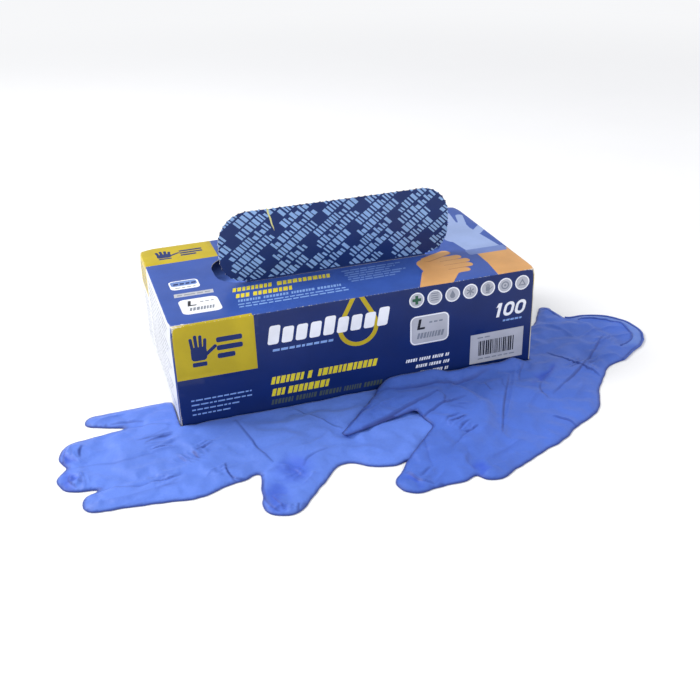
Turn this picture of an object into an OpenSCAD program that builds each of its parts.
// Dispenser carton of disposable gloves, its tear-out flap standing open, with two
// gloves already pulled out and lying beside it.
// Origin: centre of the carton's base. +X along the carton, -Y towards its front, +Z up.

/* [Carton] */
// Length of the carton, along X
carton_length = 240; // [220:1:260]
// Depth of the carton, front to back
carton_depth = 130; // [124:1:136]
// Height of the carton
carton_height = 70; // [60:1:90]
// Thickness of the paperboard
board = 0.5; // [0.35:0.05:0.7]

/* [Opening and flap] */
// Length of the torn-out opening, along X
opening_length = 158; // [140:1:180]
// Width of the opening, front to back
opening_width = 48; // [44:1:56]
// Distance from the carton's front edge to the flap's crease
crease_setback = 49; // [40:1:60]
// Radius of the two corners beside the crease
near_radius = 17; // [12:1:20]
// Radius of the two corners away from the crease
far_radius = 21; // [12:1:22]
// Gap between the flap's torn edge and the opening
tear_gap = 0.3; // [0.2:0.05:0.6]
// Height of the flap's crease line above the top panel
crease_rise = 0.05; // [0.05:0.01:0.15]
// Angle at which the flap stands open; 0 is closed
flap_angle = 90; // [60:1:110]

/* [Glued ends and seam] */
// Gap left between folded layers of board
fold_gap = 0.1; // [0.05:0.05:0.2]
// Width of each dust flap, from its own wall
dust_flap_width = 56; // [30:1:60]
// Clearance of a dust flap from the base and the top
dust_flap_ease = 1; // [0.5:0.5:3]
// Height of the inner end flap, folded up from the base
inner_flap_height = 46; // [20:1:56]
// Distance that an inner end flap stops short of the long walls
inner_flap_inset = 4; // [1:0.5:8]
// Distance that an outer end flap stops short of the base
outer_flap_reveal = 1.5; // [0.5:0.5:6]
// Width of the seam flap inside the back panel
seam_flap_width = 15; // [10:1:20]
// Distance that the seam flap stops short of the carton's ends
seam_inset = 3; // [2:0.5:10]
// Width of one line of glue
glue_width = 6; // [3:1:8]
// Thickness of a line of glue
glue_film = 0.08; // [0.02:0.01:0.1]

// Distance that a line of glue stops short of its flap's ends
glue_margin = 6; // [3:1:9]

/* [Packed gloves] */
// Length of the pile of folded gloves
pile_length = 224; // [200:1:236]
// Depth of the pile
pile_depth = 118; // [100:1:122]
// Number of bundles in the pile
bundles = 10; // [6:1:14]
// Height of the whole pile
pile_height = 59; // [40:1:60]
// Corner radius of a bundle, seen from above
bundle_radius = 9; // [4:1:16]
// Length of the folded glove that is next to be pulled out
next_length = 118; // [60:1:130]
// Width of that folded glove
next_width = 34; // [20:1:36]
// Thickness of that folded glove
next_thick = 5; // [2:0.5:6]

/* [Loose gloves] */
// Thickness of an empty glove lying flat
glove_thick = 4; // [2:0.5:5]
// Thickness of the right glove where it lies over the left one
overlap_thick = 4.5; // [2:0.5:6]
// Clearance from the carton's walls and between the gloves
glove_gap = 1; // [0.6:0.1:2]
// Where the left glove's cuff ends, under the right glove
cuff_end_x = 62; // [40:1:70]

/* [Hidden] */

half_length = carton_length / 2;
half_depth = carton_depth / 2;
wall_height = carton_height - 2 * board;
crease_y = crease_setback - half_depth;
crease_z = carton_height + crease_rise;
inside_length = carton_length - 2 * board;
inside_depth = carton_depth - 2 * board;
inner_flap_x = half_length - board - fold_gap;
dust_flap_x = inner_flap_x - board - fold_gap;
pile_base = board + fold_gap;
bundle_step = pile_height / bundles;
opening_mid_y = crease_y + opening_width / 2;
next_z = pile_base + pile_height + 2 * fold_gap;
seam_glue_x = seam_inset + glue_margin - half_length;
print_blue = "#2c4f9e";
print_navy = "#142f7a";
bare_board = "#d9d6cc";
glue_colour = "#c9b98a";
nitrile = "#6088e0";
nitrile_dark = "#4f78d4";

// ---- The outlines of the opening and the flap ----

// A plate outline with its crease edge on y = 0 and different radii at its near and far
// corners, all of it drawn in by inset.
module tear_outline(inset) {
    half = opening_length / 2 - inset;
    near = near_radius - inset;
    far = far_radius - inset;
    far_y = opening_width - inset;
    translate([-half, near + inset]) square([2 * half, far_y - far - near - inset]);
    translate([-half + near, inset]) square([2 * (half - near), near + inset]);
    translate([-half + far, far_y - far - inset]) square([2 * (half - far), far + inset]);
    for (side = [-1, 1]) {
        translate([side * (half - near), near + inset]) circle(near, $fn = 64);
        translate([side * (half - far), far_y - far]) circle(far, $fn = 64);
    }
}

// ---- The printed carton ----

module wall_panel(side) {
    color(print_navy)
        translate([-half_length, side > 0 ? half_depth - board : -half_depth, board])
            cube([carton_length, board, wall_height]);
}

module front_panel() { wall_panel(-1); }

module back_panel() { wall_panel(1); }

module bottom_panel() {
    color(print_navy)
        translate([-half_length, -half_depth, 0]) cube([carton_length, carton_depth, board]);
}

module top_panel() {
    color(print_blue)
        difference() {
            translate([-half_length, -half_depth, carton_height - board])
                cube([carton_length, carton_depth, board]);
            translate([0, crease_y, carton_height - 2 * board])
                linear_extrude(3 * board) tear_outline(0);
        }
}

// The flap is drawn closed, just under its crease line, then turned up about that line.
module dispenser_flap() {
    color(print_navy)
        translate([0, crease_y, crease_z])
            rotate([flap_angle, 0, 0])
                translate([0, 0, -board - crease_rise])
                    linear_extrude(board) tear_outline(tear_gap);
}

// ---- The seam along the back panel's foot ----

module seam_flap() {
    color(bare_board)
        translate([seam_inset - half_length, half_depth - 2 * board - fold_gap, board + fold_gap])
            cube([carton_length - 2 * seam_inset, board, seam_flap_width]);
}

module seam_glue() {
    color(glue_colour)
        translate([seam_glue_x, half_depth - board - glue_film, board + seam_flap_width / 2])
            cube([-2 * seam_glue_x, glue_film, glue_width]);
}

// ---- The folded and glued ends. Each is drawn for the +X end; side mirrors it. ----

module at_end(side) {
    mirror([side < 0 ? 1 : 0, 0, 0]) children();
}

module outer_flap(side) {
    color(bare_board)
        at_end(side)
            translate([half_length - board, -inside_depth / 2 + fold_gap, board + outer_flap_reveal])
                cube([board, inside_depth - 2 * fold_gap, wall_height - outer_flap_reveal - fold_gap]);
}

module inner_flap(side) {
    color(bare_board)
        at_end(side)
            translate([inner_flap_x - board, inner_flap_inset - inside_depth / 2, board + fold_gap])
                cube([board, inside_depth - 2 * inner_flap_inset, inner_flap_height]);
}

module dust_flap(side, wall) {
    y_from = wall > 0 ? inside_depth / 2 - dust_flap_width - board : -inside_depth / 2 + fold_gap;
    color(bare_board)
        at_end(side)
            translate([dust_flap_x - board, y_from, board + dust_flap_ease])
                cube([board, dust_flap_width, wall_height - 2 * dust_flap_ease]);
}

// Three upright lines of glue hold the outer flap to the inner one.
module end_glue(side) {
    color(glue_colour)
        at_end(side)
            for (place = [-1, 0, 1])
                translate([inner_flap_x, place * inside_depth / 3 - glue_width / 2, board + glue_margin])
                    cube([glue_film, glue_width, inner_flap_height - 2 * glue_margin]);
}

module left_outer_flap() { outer_flap(-1); }

module left_inner_flap() { inner_flap(-1); }

module left_front_dust_flap() { dust_flap(-1, -1); }

module left_rear_dust_flap() { dust_flap(-1, 1); }

module left_end_glue() { end_glue(-1); }

module right_outer_flap() { outer_flap(1); }

module right_inner_flap() { inner_flap(1); }

module right_front_dust_flap() { dust_flap(1, -1); }

module right_rear_dust_flap() { dust_flap(1, 1); }

module right_end_glue() { end_glue(1); }

// ---- The gloves inside ----

module rounded_slab(length, width, radius, thick) {
    linear_extrude(thick) {
        square([length - 2 * radius, width], center = true);
        square([length, width - 2 * radius], center = true);
        for (sx = [-1, 1], sy = [-1, 1])
            translate([sx * (length / 2 - radius), sy * (width / 2 - radius)])
                circle(radius, $fn = 32);
    }
}

// The folded gloves lie in bundles, each a little shifted from the one below it.
module glove_pile() {
    color(nitrile)
        for (i = [0:bundles - 1])
            translate([1.2 * sin(140 * i), 0.8 * cos(170 * i), pile_base + i * bundle_step])
                rounded_slab(pile_length, pile_depth, bundle_radius, bundle_step - fold_gap);
}

// The next glove lies folded under the opening, ready to be pulled up through it.
module next_glove() {
    color(nitrile)
        translate([0, opening_mid_y, next_z])
            rounded_slab(next_length, next_width, next_width / 4, next_thick);
}

// ---- The two loose gloves ----

// One tapered finger: tip x, tip y, tip radius, root x, root y, root radius.
module finger(f) {
    hull() {
        translate([f[0], f[1]]) circle(f[2], $fn = 32);
        translate([f[3], f[4]]) circle(f[5], $fn = 32);
    }
}

// The strip beside the carton's foot through which the left glove's cuff can be drawn out.
strip_near_y = -half_depth - 87;
strip_end_x = cuff_end_x + 3 * glove_gap;

module carton_footprint() {
    square([carton_length + 2 * glove_gap, carton_depth + 2 * glove_gap], center = true);
}

// Everything behind the carton's front wall that is not left of its left end.
module left_glove_keep_out() {
    translate([-half_length - glove_gap, -half_depth - glove_gap])
        square([carton_length + 100, carton_depth + 100]);
}

left_fingers = [
    [-169, -37.5, 7, -128, -45, 16],      // little finger, beside the left end
    [-179, -72, 15.5, -130, -73, 24],     // ring finger, its tip folded back
    [-184, -97, 13, -122, -98, 24],       // middle finger, its tip folded back
    [-175, -76, 14, -175, -94, 14],       // where the two folded tips meet
    [-176, -123.5, 9.5, -125, -115, 24],  // index finger
    [-79.5, -159.5, 12.5, -56, -114, 27], // thumb
];
left_palm = [-125, -92, 32, -60, -98, 32];
left_side = [-100, -72, 16, 30, -78, 20]; // against the carton's foot
left_heel = [-125, -115, 24, -100, -116, 16.5];
left_wrist = [-10, -122, 26, 24, -110, 38];
left_cuff = [-55, -100, 34, cuff_end_x - 38, -106, 38];

module left_glove_outline() {
    difference() {
        union() {
            for (f = left_fingers) finger(f);
            finger(left_palm);
            finger(left_side);
            finger(left_heel);
            finger(left_wrist);
            finger(left_cuff);
        }
        left_glove_keep_out();
    }
}

module loose_glove_left() {
    color(nitrile) linear_extrude(glove_thick) left_glove_outline();
}

right_fingers = [
    [12, -72, 5, 75, -80, 13],        // little finger, along the carton's front
    [-27, -110.5, 3, 35, -74, 23],    // ring finger
    [-6, -167, 10.5, 48, -133, 25],   // middle finger, folded under
    [-2, -166, 11, 18, -162, 15],     // and its nearer side
    [40, -171, 10.5, 82, -135.5, 26], // index finger, folded under
];
right_palm = [60, -106, 38, 103, -107, 40];
right_heel = [80, -139, 23, 114, -120, 21];
right_wrist = [106, -105, 35, 150, -68, 27];
right_pinch = [150, -66, 27, 172, -63, 24.5];
right_cuff = [155, -48, 32, 185, -47, 31];
right_corner = [169, 3, 5, 160, -35, 20];

module right_glove_area() {
    for (f = right_fingers) finger(f);
    finger(right_palm);
    finger(right_heel);
    finger(right_wrist);
    finger(right_pinch);
    finger(right_cuff);
    finger(right_corner);
}

// It lies on the table, and a second layer of it rises over the left glove's cuff.
module loose_glove_right() {
    raised = glove_thick + glove_gap;
    overlap = 6 * glove_gap;
    reach = 2 * carton_length;
    color(nitrile_dark) {
        linear_extrude(raised - fold_gap / 2)
            difference() {
                right_glove_area();
                carton_footprint();
                translate([strip_end_x - reach, strip_near_y]) square([reach, reach / 4]);
            }
        translate([0, 0, raised])
            linear_extrude(overlap_thick)
                difference() {
                    right_glove_area();
                    carton_footprint();
                    translate([strip_end_x + overlap, -reach / 2]) square(reach);
                    translate([-reach / 2, strip_near_y - overlap - reach]) square(reach);
                }
    }
}

front_panel();
top_panel();
back_panel();
bottom_panel();
seam_flap();
seam_glue();
left_outer_flap();
left_inner_flap();
left_front_dust_flap();
left_rear_dust_flap();
left_end_glue();
right_outer_flap();
right_inner_flap();
right_front_dust_flap();
right_rear_dust_flap();
right_end_glue();
dispenser_flap();
glove_pile();
next_glove();
loose_glove_left();
loose_glove_right();
